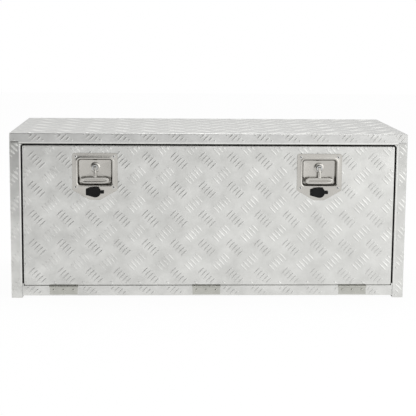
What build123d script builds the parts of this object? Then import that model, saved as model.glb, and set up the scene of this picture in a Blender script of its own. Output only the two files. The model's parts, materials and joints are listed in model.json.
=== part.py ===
from build123d import *
import os
from math import atan2, cos, radians, sin, sqrt

# A tread plate tool box that hangs under a truck's bed. Its whole front is a door that
# drops down on three hinges along the sill, is held shut by two folding T-handle
# latches, and is held level when open by two slotted stays.
# X runs left to right, Y front to back and Z up, with the origin on the ground under
# the middle of the cabinet. Every length is in millimetres.

# Cabinet sheets
width = 1200.0
depth = 500.0
height = 505.0
sheet = 2.0
bend_r = 3.0
lip_drop = 27.0
post_w = 33.5
strip_w = 5.5
skid_rise = 7.5
sill_h = 29.5
sill_return = 20.0
sill_lip_round = 1.0
sill_lip_gap = 0.5
ear_w = 3.9
ear_h = 8.0
landing_w = 22.0
overrun = 5.0

# Door seal
seal_t = 5.4
seal_w = 17.0
seal_edge = 0.5
seal_gap = 0.3
seal_round = 2.0

# Door
door_gap = 4.5
door_setback = 0.3
door_pan = 25.0
door_lip_w = 15.0
door_corner_r = 5.0
hat_clear = 56.0
hat_w = 50.0
hat_d = 18.0
hat_t = 1.5
hat_foot = 15.0
hat_end_gap = 3.0

# Hinges and the rivets of the sheet metal
hinge_inset = 120.0
centre_hinge_shift = 7.0
knuckles = 5
leaf_w = 84.0
leaf_drop = 24.8
leaf_reach = 24.0
leaf_t = 1.5
leaf_clear = 0.5
leaf_notch_gap = 1.0
knuckle_r = 3.2
knuckle_gap = 0.4
hinge_pin_r = 1.6
hinge_pin_fit = 0.05
hinge_pin_head_r = 2.8
hinge_pin_head_t = 1.2
rivet_r = 2.4
rivet_head_r = 4.5
rivet_head_t = 2.0
rivet_edge = 13.0
rivet_pitch = 30.0

# Latch plate, measured from the spindle's axis, which is set in from the door's end
left_latch_inset = 217.0
right_latch_inset = 229.0
spindle_drop = 67.5
plate_half_w = 68.0
plate_up = 44.5
shoulder_down = 67.0
chin_down = 97.0
chin_half_w = 16.0
chin_round = 10.0
plate_corner_r = 8.0
plate_t = 1.5
gasket_t = 1.0
gasket_inset = 1.5
recess_half_w = 51.0
recess_up = 26.0
recess_down = 52.0
recess_depth = 15.0
recess_draft = 6.5
recess_corner_r = 8.0
recess_cut_clear = 0.5
bead_w = 4.0
bead_h = 1.2
latch_rivet_x = 57.0
latch_rivet_up = 34.0
latch_rivet_down = 59.5
latch_rivet_r = 2.2
latch_rivet_head_r = 4.2
latch_rivet_head_t = 1.8
latch_rivet_tail_r = 3.6
latch_rivet_tail_t = 3.0
mandrel_r = 1.2
mandrel_depth = 1.2

# Spindle, its bush and the cam
bush_flange_r = 15.5
bush_flange_t = 2.5
bush_r = 10.0
bush_collar_r = 12.5
bush_collar_t = 2.5
bush_end_gap = 6.0
edge_round = 0.8
spindle_r = 6.0
spindle_fit = 0.05
head_r = 9.0
face_gap = 0.3
clevis_w = 8.4
pivot_back = 4.7
cross_pin_r = 2.0
cross_pin_fit = 0.05
cross_pin_inset = 0.4
cam_gap = 1.5
cam_t = 4.0
cam_hub_r = 10.0
cam_arm = 66.0
cam_arm_w = 16.0
cam_tail = 24.0
cam_tail_w = 10.0
cam_square = 8.0
stud_r = 3.5
stud_h = 6.0
cam_nut_r = 6.8
cam_nut_h = 5.0

# T-handle
eye_r = 4.5
eye_w = 8.0
stem_w = 12.0
stem_t = 8.0
stem_shoulder = 10.4
stem_taper = 1.0
bar_half_w = 42.0
bar_up = 28.0
bar_h = 20.0
bar_t = 8.0
bar_front_gap = 2.3
bar_round = 3.0
groove_w = 4.0
groove_d = 1.0
groove_end = 6.0

# Key lock and its swivelling cover
lock_down = 73.0
bezel_r = 13.0
bezel_h = 0.8
barrel_r = 11.0
barrel_len = 28.2
barrel_hole_clear = 0.5
plug_r = 8.0
plug_fit = 0.05
plug_collar_r = 9.5
plug_collar_t = 2.2
keyway_w = 1.8
keyway_h = 9.0
keyway_depth = 12.0
tail_square = 7.0
tail_cap_r = 5.5
tail_cap_t = 1.5
tongue_hub_r = 8.0
tongue_len = 55.0
tongue_w = 8.0
lock_nut_r = 15.0
lock_nut_t = 4.0
cover_gap = 0.3
cover_t = 3.2
cover_r = 16.5
cover_shift = 1.0
cover_lug_x = 27.5
cover_lug_w = 8.0
cover_lug_h = 20.0
cover_tab_x = 27.0
cover_tab_h = 9.0
cover_round = 1.0
cover_pivot_x = 22.0
cover_post_r = 1.8
cover_post_fit = 0.08
cover_post_head_r = 4.0
cover_post_head_t = 1.2

# Door stays
stay_radius = 180.0
stay_lead_deg = 32.0
door_travel_deg = 90.0
stay_pivot_back = 12.7
stay_inset = 5.0
stay_w = 20.0
stay_t = 2.5
stay_gap = 0.5
stay_end = 10.0
stay_pivot_r = 3.0
stay_pivot_fit = 0.1
stay_head_r = 6.0
stay_head_t = 2.2
stay_head_gap = 0.3
guide_r = 4.0
guide_clear = 0.3
guide_head_r = 8.0
guide_collar_r = 6.0
guide_nut_r = 7.0
guide_nut_t = 4.0
bracket_t = 2.5
bracket_round = 12.0
bracket_foot_w = 20.0
bracket_half_h = 30.0
bracket_rivet_half = 16.0
lug_round = 8.0
lug_foot_w = 22.5
lug_half_h = 16.0

# Planes of the cabinet
half_w = width / 2
front_y = -depth / 2
back_y = depth / 2
open_half = half_w - post_w
strip_x = open_half + strip_w
lip_z = height - lip_drop
header_z = lip_z - strip_w
floor_top = skid_rise + sheet
sill_top = skid_rise + sill_h
inner_half = half_w - sheet

# Planes of the door and what it closes on
door_half = open_half - door_gap
door_top = header_z - door_gap
door_bottom = sill_top + leaf_t + leaf_clear
sill_lip_z = door_bottom - sill_lip_gap
door_face_y = front_y + door_setback
skin_back_y = door_face_y + sheet
door_back_y = door_face_y + door_pan
landing_y = door_back_y + seal_gap + seal_t
landing_back_y = landing_y + sheet
landing_edge = open_half - landing_w
latch_centres = {"left": left_latch_inset - door_half, "right": door_half - right_latch_inset}
hat_x = latch_centres["right"] - plate_half_w - hat_clear - hat_foot - hat_w / 2

# The hinge's axis: the barrel stands in front of the sill and is level with the door leaf
hinge_y = front_y - knuckle_r
hinge_z = door_bottom - knuckle_r
door_leaf_z = (door_bottom - leaf_t, door_bottom)
leaf_bottom = hinge_z - leaf_drop
hinge_rivet_z = leaf_bottom + rivet_edge
door_rivet_y = hinge_y + leaf_reach - rivet_edge + rivet_head_r
hinge_centres = {"left": hinge_inset - door_half, "centre": -centre_hinge_shift,
                 "right": door_half - hinge_inset}

# Planes of the latch, from front to back
spindle_z = door_top - spindle_drop
plate_back_y = door_face_y - gasket_t
plate_y = plate_back_y - plate_t
recess_y = plate_y + recess_depth
recess_back_y = recess_y + plate_t
pivot_y = plate_y + pivot_back
bar_front_y = plate_y - bar_front_gap
bar_back_y = bar_front_y + bar_t
bush_front_y = recess_y - bush_flange_t
head_front_y = pivot_y - eye_r
head_back_y = bush_front_y - face_gap
cam_y = landing_back_y + cam_gap
cam_back_y = cam_y + cam_t
bush_back_y = cam_y - bush_end_gap
lock_z = spindle_z - lock_down
bezel_y = plate_y - bezel_h
barrel_back_y = plate_y + barrel_len
cover_back_y = bezel_y - cover_gap
cover_front_y = cover_back_y - cover_t
cover_pivot_shift = cover_shift - cover_pivot_x
recess_mid = (recess_up - recess_down) / 2
recess_h = recess_up + recess_down
cut_grow = plate_t + recess_cut_clear
cut_half_w = recess_half_w + cut_grow
cut_z = (spindle_z - recess_down - cut_grow, spindle_z + recess_up + cut_grow)

# The stay's pivot on the door and its guide pin on the cabinet lie at one radius from
# the hinge's axis, so the arm turns by exactly half of the door's angle
stay_pivot_y = door_back_y + stay_pivot_back
stay_pivot_z = hinge_z + sqrt(stay_radius**2 - (stay_pivot_y - hinge_y) ** 2)
stay_pivot_angle = atan2(stay_pivot_y - hinge_y, stay_pivot_z - hinge_z)
guide_angle = stay_pivot_angle + radians(stay_lead_deg)
guide_y = hinge_y + stay_radius * sin(guide_angle)
guide_z = hinge_z + stay_radius * cos(guide_angle)
stay_shut = 2 * stay_radius * sin(radians(stay_lead_deg) / 2)
stay_open = 2 * stay_radius * sin(radians(stay_lead_deg + door_travel_deg) / 2)
stay_slope = atan2(guide_z - stay_pivot_z, guide_y - stay_pivot_y)
stay_slot_w = 2 * (guide_r + guide_clear)
lug_x = landing_edge - stay_inset + stay_gap
stay_x = lug_x - stay_gap - stay_t
bracket_rivet_x = landing_edge + bracket_foot_w - rivet_edge + rivet_r
bracket_rivet_z = (guide_z - bracket_rivet_half, guide_z + bracket_rivet_half)

sides = {"left": -1, "right": 1}
os.makedirs("parts", exist_ok=True)


def write(builder, name):
    """Label a finished piece and write its file."""
    builder.part.label = name
    export_step(builder.part, f"parts/{name}.step")


def span(side, near, far):
    """The X span between two distances from the middle, on the given side."""
    return tuple(sorted((side * near, side * far)))


def block(x_span, y_span, z_span, mode=Mode.ADD):
    """A block between three pairs of planes."""
    (x0, x1), (y0, y1), (z0, z1) = x_span, y_span, z_span
    with Locations(((x0 + x1) / 2, (y0 + y1) / 2, (z0 + z1) / 2)):
        Box(x1 - x0, y1 - y0, z1 - z0, mode=mode)


def rod_x(x_span, y, z, radius, mode=Mode.ADD):
    """A round rod that runs left to right."""
    with Locations(((x_span[0] + x_span[1]) / 2, y, z)):
        Cylinder(radius, x_span[1] - x_span[0], rotation=(0, 90, 0), mode=mode)


def rod_y(x, z, y_span, radius, mode=Mode.ADD):
    """A round rod that runs front to back."""
    with Locations((x, (y_span[0] + y_span[1]) / 2, z)):
        Cylinder(radius, y_span[1] - y_span[0], rotation=(90, 0, 0), mode=mode)


def rod_z(x, y, z_span, radius, mode=Mode.ADD):
    """A round rod that stands upright."""
    with Locations((x, y, (z_span[0] + z_span[1]) / 2)):
        Cylinder(radius, z_span[1] - z_span[0], mode=mode)


def bar_yz(y_span, z_span):
    """A rectangle of a sketch on a YZ plane, between two pairs of planes."""
    with Locations(((y_span[0] + y_span[1]) / 2, (z_span[0] + z_span[1]) / 2)):
        Rectangle(y_span[1] - y_span[0], z_span[1] - z_span[0])


def facing(y):
    """The plane at depth y that faces the front, with X and Z as its sketch axes."""
    return Plane.XZ.offset(-y)


def hinge_rivet_xs(x):
    """The X places of the three rivets of a hinge leaf."""
    return (x - rivet_pitch, x, x + rivet_pitch)


def knuckle_spans(x):
    """The X spans of a hinge's knuckles, which share its leaf's width evenly."""
    pitch = (leaf_w + knuckle_gap) / knuckles
    starts = [x - leaf_w / 2 + i * pitch for i in range(knuckles)]
    return [(start, start + pitch - knuckle_gap) for start in starts]


def latch_rivet_places(x):
    """The X and Z places of a latch plate's four rivets."""
    levels = (spindle_z + latch_rivet_up, spindle_z - latch_rivet_down)
    return [(x + side * latch_rivet_x, z) for side in (-1, 1) for z in levels]


def latch_rivet_holes(x, through):
    """Holes for a latch plate's four rivets, cut between two depths."""
    for rivet_x, rivet_z in latch_rivet_places(x):
        rod_y(rivet_x, rivet_z, through, latch_rivet_r, Mode.SUBTRACT)


def sill_rivet_holes(x):
    """Holes for the rivets that hold a hinge's leaf to the sill."""
    through = (front_y - leaf_t - overrun, front_y + sheet + overrun)
    for rivet_x in hinge_rivet_xs(x):
        rod_y(rivet_x, hinge_rivet_z, through, rivet_r, Mode.SUBTRACT)


def door_rivet_holes(x):
    """Holes for the rivets that hold a hinge's leaf under the door."""
    through = (door_leaf_z[0] - overrun, door_bottom + sheet + overrun)
    for rivet_x in hinge_rivet_xs(x):
        rod_z(rivet_x, door_rivet_y, through, rivet_r, Mode.SUBTRACT)


def bracket_rivet_holes(side):
    """Holes for the two rivets that hold a stay's bracket to the landing."""
    through = (landing_y - overrun, landing_back_y + bracket_t + overrun)
    for z in bracket_rivet_z:
        rod_y(side * bracket_rivet_x, z, through, rivet_r, Mode.SUBTRACT)


# Top panel: one sheet with a lip folded down on all four sides
with BuildPart() as top_panel:
    block((-half_w, half_w), (front_y, back_y), (lip_z, height))
    fillet(top_panel.edges().filter_by(Axis.Z), bend_r)
    fillet(top_panel.faces().sort_by(Axis.Z)[-1].edges(), bend_r)
    block((-inner_half, inner_half), (front_y + sheet, back_y - sheet),
          (lip_z - overrun, height - sheet), Mode.SUBTRACT)
write(top_panel, "top_panel")

# Side panels: a wall with the front post, the back flange and the skid folded from it
for name, side in sides.items():
    outer = -1 if side > 0 else 0
    with BuildPart() as side_panel:
        block(span(side, open_half, half_w), (front_y, back_y), (0, lip_z))
        fillet(side_panel.edges().filter_by(Axis.Z).group_by(Axis.X)[outer], bend_r)
        block(span(side, open_half - overrun, inner_half), (front_y + sheet, back_y - sheet),
              (sheet, lip_z + overrun), Mode.SUBTRACT)
        block(span(side, open_half - overrun, strip_x), (front_y - overrun, front_y + sheet),
              (sill_top, lip_z + overrun), Mode.SUBTRACT)
    write(side_panel, f"{name}_side_panel")

# Back panel and floor, butted and welded between the side panels
with BuildPart() as back_panel:
    block((-open_half, open_half), (back_y - sheet, back_y), (skid_rise, lip_z))
write(back_panel, "back_panel")

with BuildPart() as floor_panel:
    block((-inner_half, inner_half), (front_y + sheet, back_y - sheet), (skid_rise, floor_top))
write(floor_panel, "floor_panel")

# Sill: the folded channel under the door, with the lower landing and two corner ears. Its
# front edge stands up almost to the door and is notched for the hinges.
with BuildPart() as front_sill:
    with BuildSketch(Plane.YZ.offset(-open_half)) as sill_profile:
        bar_yz((front_y, front_y + sheet), (skid_rise, sill_lip_z))
        bar_yz((front_y, front_y + sill_return), (floor_top, floor_top + sheet))
        bar_yz((front_y, landing_back_y), (sill_top - sheet, sill_top))
        bar_yz((landing_y, landing_back_y), (sill_top - sheet, sill_top + landing_w))
        top_corner = sill_profile.vertices().group_by(Axis.X)[0].sort_by(Axis.Y)[-1]
        fillet(top_corner, sill_lip_round)
    extrude(amount=2 * open_half)
    for side in sides.values():
        block(span(side, open_half - ear_w, open_half), (front_y, front_y + sheet),
              (sill_top - bend_r, sill_top + ear_h))
    notch_half = leaf_w / 2 + leaf_notch_gap
    for x in hinge_centres.values():
        block((x - notch_half, x + notch_half), (front_y - overrun, front_y + sheet),
              (sill_top, sill_lip_z + overrun), Mode.SUBTRACT)
        sill_rivet_holes(x)
write(front_sill, "front_sill")

# Door frame: a header and two jambs, each a strip, a wall and a landing in one fold
with BuildPart() as header_frame:
    with BuildSketch(Plane.YZ.offset(-strip_x)) as header_profile:
        bar_yz((front_y, front_y + sheet), (header_z, lip_z))
        bar_yz((front_y, landing_back_y), (header_z, header_z + sheet))
        lower_corner = header_profile.vertices().group_by(Axis.X)[0].sort_by(Axis.Y)[0]
        fillet(lower_corner, bend_r)
    extrude(amount=2 * strip_x)
    block((-open_half, open_half), (landing_y, landing_back_y), (header_z - landing_w, header_z))
write(header_frame, "header_frame")

for name, side in sides.items():
    inner = 0 if side > 0 else -1
    with BuildPart() as jamb:
        block(span(side, open_half, strip_x), (front_y, front_y + sheet), (sill_top, header_z))
        block(span(side, open_half, open_half + sheet), (front_y, landing_back_y),
              (sill_top, header_z))
        fold = jamb.edges().filter_by(Axis.Z).group_by(Axis.Y)[0].sort_by(Axis.X)[inner]
        fillet(fold, bend_r)
        block(span(side, landing_edge, open_half), (landing_y, landing_back_y),
              (sill_top + landing_w, header_z - landing_w))
        bracket_rivet_holes(side)
    write(jamb, f"{name}_jamb")

# Seal: a soft ring on the landings, just clear of the door's back lips
with BuildPart() as door_seal:
    seal_half = open_half - seal_edge
    seal_low = sill_top + seal_edge
    seal_high = header_z - seal_edge
    block((-seal_half, seal_half), (landing_y - seal_t, landing_y), (seal_low, seal_high))
    through = (landing_y - seal_t - overrun, landing_y + overrun)
    block((seal_w - seal_half, seal_half - seal_w), through,
          (seal_low + seal_w, seal_high - seal_w), Mode.SUBTRACT)
    fillet(door_seal.faces().sort_by(Axis.Y)[0].edges(), seal_round)
write(door_seal, "door_seal")

# Door skin: a shallow pan with return lips, cut out for the hinges' rivets and the latches
with BuildPart() as door_skin:
    block((-door_half, door_half), (door_face_y, door_back_y), (door_bottom, door_top))
    fillet(door_skin.edges().filter_by(Axis.Y), door_corner_r)
    fillet(door_skin.faces().sort_by(Axis.Y)[0].edges(), bend_r)
    block((sheet - door_half, door_half - sheet), (skin_back_y, door_back_y - sheet),
          (door_bottom + sheet, door_top - sheet), Mode.SUBTRACT)
    block((door_lip_w - door_half, door_half - door_lip_w), (skin_back_y, door_back_y + overrun),
          (door_bottom + door_lip_w, door_top - door_lip_w), Mode.SUBTRACT)
    for x in hinge_centres.values():
        door_rivet_holes(x)
    for x in latch_centres.values():
        through = (door_face_y - overrun, skin_back_y + overrun)
        block((x - cut_half_w, x + cut_half_w), through, cut_z, Mode.SUBTRACT)
        rod_y(x, lock_z, through, barrel_r + barrel_hole_clear, Mode.SUBTRACT)
        latch_rivet_holes(x, through)
write(door_skin, "door_skin")

# Stiffeners: two hat sections bonded upright to the back of the skin
for name, side in sides.items():
    with BuildPart() as stiffener:
        with BuildSketch(Plane.XY.offset(door_bottom + sheet + hat_end_gap)):
            x = side * hat_x
            crown_y = skin_back_y + hat_d
            with Locations((x, crown_y - hat_t / 2)):
                Rectangle(hat_w, hat_t)
            for edge in (-1, 1):
                wall_x = x + edge * (hat_w - hat_t) / 2
                foot_x = x + edge * (hat_w + hat_foot) / 2
                with Locations((wall_x, skin_back_y + hat_d / 2)):
                    Rectangle(hat_t, hat_d)
                with Locations((foot_x, skin_back_y + hat_t / 2)):
                    Rectangle(hat_foot, hat_t)
        extrude(amount=door_top - door_bottom - 2 * (sheet + hat_end_gap))
    write(stiffener, f"{name}_door_stiffener")

# Hinges: the cabinet's leaf lies on the sill and the door's leaf under the door
for name, x in hinge_centres.items():
    leaf_span = (x - leaf_w / 2, x + leaf_w / 2)
    leaf_y = (front_y - leaf_t, front_y)
    with BuildPart() as sill_leaf:
        block(leaf_span, leaf_y, (leaf_bottom, hinge_z - knuckle_r - knuckle_gap))
        for knuckle in knuckle_spans(x)[0::2]:
            block(knuckle, leaf_y, (leaf_bottom, hinge_z))
            rod_x(knuckle, hinge_y, hinge_z, knuckle_r)
        rod_x(leaf_span, hinge_y, hinge_z, hinge_pin_r + hinge_pin_fit, Mode.SUBTRACT)
        sill_rivet_holes(x)
    write(sill_leaf, f"{name}_hinge_sill_leaf")

    with BuildPart() as door_leaf:
        block(leaf_span, (front_y + knuckle_gap, hinge_y + leaf_reach), door_leaf_z)
        for knuckle in knuckle_spans(x)[1::2]:
            block(knuckle, (hinge_y, front_y + leaf_t), door_leaf_z)
            rod_x(knuckle, hinge_y, hinge_z, knuckle_r)
        rod_x(leaf_span, hinge_y, hinge_z, hinge_pin_r + hinge_pin_fit, Mode.SUBTRACT)
        door_rivet_holes(x)
    write(door_leaf, f"{name}_hinge_door_leaf")

with BuildPart() as hinge_pins:
    for x in hinge_centres.values():
        ends = (x - leaf_w / 2, x + leaf_w / 2)
        rod_x(ends, hinge_y, hinge_z, hinge_pin_r)
        rod_x((ends[0] - hinge_pin_head_t, ends[0]), hinge_y, hinge_z, hinge_pin_head_r)
        rod_x((ends[1], ends[1] + hinge_pin_head_t), hinge_y, hinge_z, hinge_pin_head_r)
write(hinge_pins, "hinge_pins")

with BuildPart() as hinge_sill_rivets:
    head_y = (front_y - leaf_t - rivet_head_t, front_y - leaf_t)
    tail_y = (front_y + sheet, front_y + sheet + rivet_head_t)
    for x in hinge_centres.values():
        for rivet_x in hinge_rivet_xs(x):
            rod_y(rivet_x, hinge_rivet_z, head_y, rivet_head_r)
            rod_y(rivet_x, hinge_rivet_z, (head_y[1], tail_y[0]), rivet_r)
            rod_y(rivet_x, hinge_rivet_z, tail_y, rivet_head_r)
    rims = hinge_sill_rivets.edges().group_by(Axis.Y)[0]
    fillet(rims, rivet_head_t / 2)
write(hinge_sill_rivets, "hinge_sill_rivets")

with BuildPart() as hinge_door_rivets:
    flange_top = door_bottom + sheet
    for x in hinge_centres.values():
        for rivet_x in hinge_rivet_xs(x):
            rod_z(rivet_x, door_rivet_y, (door_leaf_z[0], flange_top), rivet_r)
            rod_z(rivet_x, door_rivet_y, (flange_top, flange_top + rivet_head_t), rivet_head_r)
write(hinge_door_rivets, "hinge_door_rivets")


def latch_plane(x, y):
    """The front-facing plane at depth y whose origin is on a spindle's axis."""
    return Plane(origin=(x, y, spindle_z), x_dir=(1, 0, 0), z_dir=(0, -1, 0))


def rounded_plate(x, y, thickness, inset):
    """The latch plate's flat shape, drawn in by an inset, forward from depth y."""
    with BuildSketch(latch_plane(x, y)) as outline:
        with BuildLine():
            Polyline((-plate_half_w, plate_up), (plate_half_w, plate_up),
                     (plate_half_w, -shoulder_down), (chin_half_w, -chin_down),
                     (-chin_half_w, -chin_down), (-plate_half_w, -shoulder_down), close=True)
        make_face()
        chin = outline.vertices().group_by(Axis.Y)[0]
        corners = outline.vertices() - chin
        fillet(corners, plate_corner_r)
        fillet(outline.vertices().group_by(Axis.Y)[0], chin_round)
        if inset:
            offset(amount=-inset)
    extrude(outline.sketch, amount=thickness)


def pocket(x, y_span, grow, mode=Mode.ADD):
    """The recess's tapered shape between two depths, grown by the plate's thickness."""
    front, back = y_span
    mouth_w, floor_w = 2 * (recess_half_w + grow), 2 * (recess_half_w - recess_draft + grow)
    mouth_h, floor_h = recess_h + 2 * grow, recess_h + 2 * (grow - recess_draft)
    with BuildSketch(latch_plane(x, front)) as mouth:
        with Locations((0, recess_mid)):
            RectangleRounded(mouth_w, mouth_h, recess_corner_r + grow)
    with BuildSketch(latch_plane(x, back)) as bottom:
        with Locations((0, recess_mid)):
            RectangleRounded(floor_w, floor_h, recess_corner_r + grow)
    loft([mouth.sketch, bottom.sketch], mode=mode)


# Latches: a pressed plate with its gasket, the spindle and cam, the T-handle and the lock
for name, side in sides.items():
    x = latch_centres[name]

    with BuildPart() as latch_plate:
        rounded_plate(x, plate_back_y, plate_t, 0)
        with BuildSketch(latch_plane(x, plate_y)) as bead:
            with Locations((0, recess_mid)):
                RectangleRounded(2 * (recess_half_w + bead_w), recess_h + 2 * bead_w,
                                 recess_corner_r + bead_w)
        extrude(bead.sketch, amount=bead_h)
        fillet(latch_plate.faces().sort_by(Axis.Y)[0].edges(), edge_round)
        pocket(x, (plate_y, recess_back_y), plate_t)
        pocket(x, (plate_y, recess_y), 0, Mode.SUBTRACT)
        with BuildSketch(latch_plane(x, plate_y)) as mouth:
            with Locations((0, recess_mid)):
                RectangleRounded(2 * recess_half_w, recess_h, recess_corner_r)
        extrude(mouth.sketch, amount=bead_h + overrun, mode=Mode.SUBTRACT)
        rod_y(x, spindle_z, (recess_y - overrun, recess_back_y + overrun), bush_r, Mode.SUBTRACT)
        through = (plate_y - overrun, plate_back_y + overrun)
        rod_y(x, lock_z, through, barrel_r, Mode.SUBTRACT)
        rod_y(x + cover_pivot_shift, lock_z, through, cover_post_r, Mode.SUBTRACT)
        latch_rivet_holes(x, through)
    write(latch_plate, f"{name}_latch_plate")

    with BuildPart() as gasket:
        rounded_plate(x, door_face_y, gasket_t, gasket_inset)
        through = (plate_back_y - overrun, door_face_y + overrun)
        block((x - cut_half_w, x + cut_half_w), through, cut_z, Mode.SUBTRACT)
        rod_y(x, lock_z, through, barrel_r, Mode.SUBTRACT)
        latch_rivet_holes(x, through)
    write(gasket, f"{name}_latch_gasket")

    with BuildPart() as bush:
        rod_y(x, spindle_z, (bush_front_y, recess_y), bush_flange_r)
        fillet(bush.edges().group_by(Axis.Y)[0], edge_round)
        rod_y(x, spindle_z, (recess_y, bush_back_y), bush_r)
        rod_y(x, spindle_z, (recess_back_y, recess_back_y + bush_collar_t), bush_collar_r)
        rod_y(x, spindle_z, (bush_front_y, bush_back_y), spindle_r + spindle_fit, Mode.SUBTRACT)
    write(bush, f"{name}_spindle_bush")

    with BuildPart() as spindle:
        rod_y(x, spindle_z, (head_front_y, head_back_y), head_r)
        fillet(spindle.edges().group_by(Axis.Y)[0], edge_round)
        rod_y(x, spindle_z, (head_back_y, cam_y), spindle_r)
        block((x - cam_square / 2, x + cam_square / 2), (cam_y, cam_back_y),
              (spindle_z - cam_square / 2, spindle_z + cam_square / 2))
        rod_y(x, spindle_z, (cam_back_y, cam_back_y + stud_h), stud_r)
        block((x - clevis_w / 2, x + clevis_w / 2), (head_front_y - overrun, pivot_y + eye_r + face_gap),
              (spindle_z - head_r - overrun, spindle_z + eye_r + face_gap), Mode.SUBTRACT)
        rod_x((x - head_r, x + head_r), pivot_y, spindle_z, cross_pin_r, Mode.SUBTRACT)
    write(spindle, f"{name}_spindle")

    with BuildPart() as cross_pin:
        pin_half = head_r - cross_pin_inset
        rod_x((x - pin_half, x + pin_half), pivot_y, spindle_z, cross_pin_r)
    write(cross_pin, f"{name}_cross_pin")

    with BuildPart() as handle:
        bar_top = spindle_z - bar_up
        block((x - bar_half_w, x + bar_half_w), (bar_front_y, bar_back_y), (bar_top - bar_h, bar_top))
        fillet(handle.edges(), bar_round)
        groove_half = bar_half_w - groove_end
        groove_z = bar_top - bar_h / 2
        block((x - groove_half, x + groove_half), (bar_front_y - overrun, bar_front_y + groove_d),
              (groove_z - groove_w / 2, groove_z + groove_w / 2), Mode.SUBTRACT)
        with BuildSketch(Plane.YZ.offset(x - stem_w / 2)) as stem:
            with BuildLine():
                Polyline((pivot_y - stem_t / 2, spindle_z), (pivot_y + stem_t / 2, spindle_z),
                         (bar_back_y - stem_taper, bar_top - bar_round),
                         (bar_front_y + stem_taper, bar_top - bar_round), close=True)
            make_face()
        extrude(stem.sketch, amount=stem_w)
        for edge in (-1, 1):
            slim = sorted((x + edge * eye_w / 2, x + edge * (stem_w / 2 + overrun)))
            block(slim, (bar_front_y - overrun, bar_back_y + overrun),
                  (spindle_z - stem_shoulder, spindle_z + overrun), Mode.SUBTRACT)
        rod_x((x - eye_w / 2, x + eye_w / 2), pivot_y, spindle_z, eye_r)
        rod_x((x - eye_w / 2, x + eye_w / 2), pivot_y, spindle_z, cross_pin_r + cross_pin_fit,
              Mode.SUBTRACT)
    write(handle, f"{name}_t_handle")

    with BuildPart() as cam:
        with BuildSketch(facing(cam_back_y)):
            with Locations((x, spindle_z)):
                Circle(cam_hub_r)
            with Locations((x - side * cam_arm / 2, spindle_z)):
                Rectangle(cam_arm, cam_arm_w)
            with Locations((x + side * cam_tail / 2, spindle_z)):
                Rectangle(cam_tail, cam_tail_w)
            with Locations((x, spindle_z)):
                Rectangle(cam_square, cam_square, mode=Mode.SUBTRACT)
        extrude(amount=cam_t)
    write(cam, f"{name}_cam")

    with BuildPart() as cam_nut:
        with BuildSketch(facing(cam_back_y + cam_nut_h)):
            with Locations((x, spindle_z)):
                RegularPolygon(cam_nut_r, 6)
                Circle(stud_r, mode=Mode.SUBTRACT)
        extrude(amount=cam_nut_h)
    write(cam_nut, f"{name}_cam_nut")

    with BuildPart() as lock_barrel:
        rod_y(x, lock_z, (bezel_y, plate_y), bezel_r)
        rod_y(x, lock_z, (plate_y, barrel_back_y), barrel_r)
        rod_y(x, lock_z, (bezel_y, barrel_back_y), plug_r + plug_fit, Mode.SUBTRACT)
    write(lock_barrel, f"{name}_lock_barrel")

    with BuildPart() as lock_plug:
        collar_y = barrel_back_y + face_gap
        rod_y(x, lock_z, (bezel_y, collar_y), plug_r)
        block((x - keyway_w / 2, x + keyway_w / 2), (bezel_y - overrun, bezel_y + keyway_depth),
              (lock_z - keyway_h / 2, lock_z + keyway_h / 2), Mode.SUBTRACT)
        rod_y(x, lock_z, (collar_y, collar_y + plug_collar_t), plug_collar_r)
        block((x - tail_square / 2, x + tail_square / 2), (collar_y + plug_collar_t, cam_back_y),
              (lock_z - tail_square / 2, lock_z + tail_square / 2))
        rod_y(x, lock_z, (cam_back_y, cam_back_y + tail_cap_t), tail_cap_r)
    write(lock_plug, f"{name}_lock_plug")

    with BuildPart() as tongue:
        with BuildSketch(facing(cam_back_y)):
            with Locations((x, lock_z)):
                Circle(tongue_hub_r)
            with Locations((x + side * tongue_len / 2, lock_z)):
                Rectangle(tongue_len, tongue_w)
            with Locations((x, lock_z)):
                Rectangle(tail_square, tail_square, mode=Mode.SUBTRACT)
        extrude(amount=cam_t)
    write(tongue, f"{name}_lock_tongue")

    with BuildPart() as key_cover:
        with BuildSketch(facing(cover_back_y)):
            with Locations((x + cover_shift, lock_z)):
                Circle(cover_r)
            with Locations((x - cover_lug_x + cover_lug_w / 2, lock_z)):
                Rectangle(cover_lug_w, cover_lug_h)
            make_hull()
            with Locations((x + cover_tab_x / 2, lock_z)):
                Rectangle(cover_tab_x, cover_tab_h)
            with Locations((x + cover_pivot_shift, lock_z)):
                Circle(cover_post_r + cover_post_fit, mode=Mode.SUBTRACT)
        extrude(amount=cover_t)
        rim = key_cover.faces().sort_by(Axis.Y)[0].outer_wire().edges()
        fillet(rim, cover_round)
    write(key_cover, f"{name}_key_cover")

with BuildPart() as latch_rivets:
    rivet_head_y = (plate_y - latch_rivet_head_t, plate_y)
    rivet_tail_y = (skin_back_y, skin_back_y + latch_rivet_tail_t)
    for centre in latch_centres.values():
        for x, z in latch_rivet_places(centre):
            rod_y(x, z, rivet_head_y, latch_rivet_head_r)
    fillet(latch_rivets.edges().group_by(Axis.Y)[0], latch_rivet_head_t / 2)
    for centre in latch_centres.values():
        for x, z in latch_rivet_places(centre):
            rod_y(x, z, (plate_y, skin_back_y), latch_rivet_r)
            rod_y(x, z, rivet_tail_y, latch_rivet_tail_r)
            rod_y(x, z, (rivet_head_y[0] - overrun, rivet_head_y[0] + mandrel_depth), mandrel_r,
                  Mode.SUBTRACT)
write(latch_rivets, "latch_rivets")

with BuildPart() as key_cover_posts:
    post_head_y = cover_front_y - cover_gap
    for centre in latch_centres.values():
        x = centre + cover_pivot_shift
        rod_y(x, lock_z, (post_head_y, plate_back_y), cover_post_r)
        rod_y(x, lock_z, (post_head_y - cover_post_head_t, post_head_y), cover_post_head_r)
        rod_y(x, lock_z, (bezel_y, plate_y), cover_post_head_r)
write(key_cover_posts, "key_cover_posts")

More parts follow.
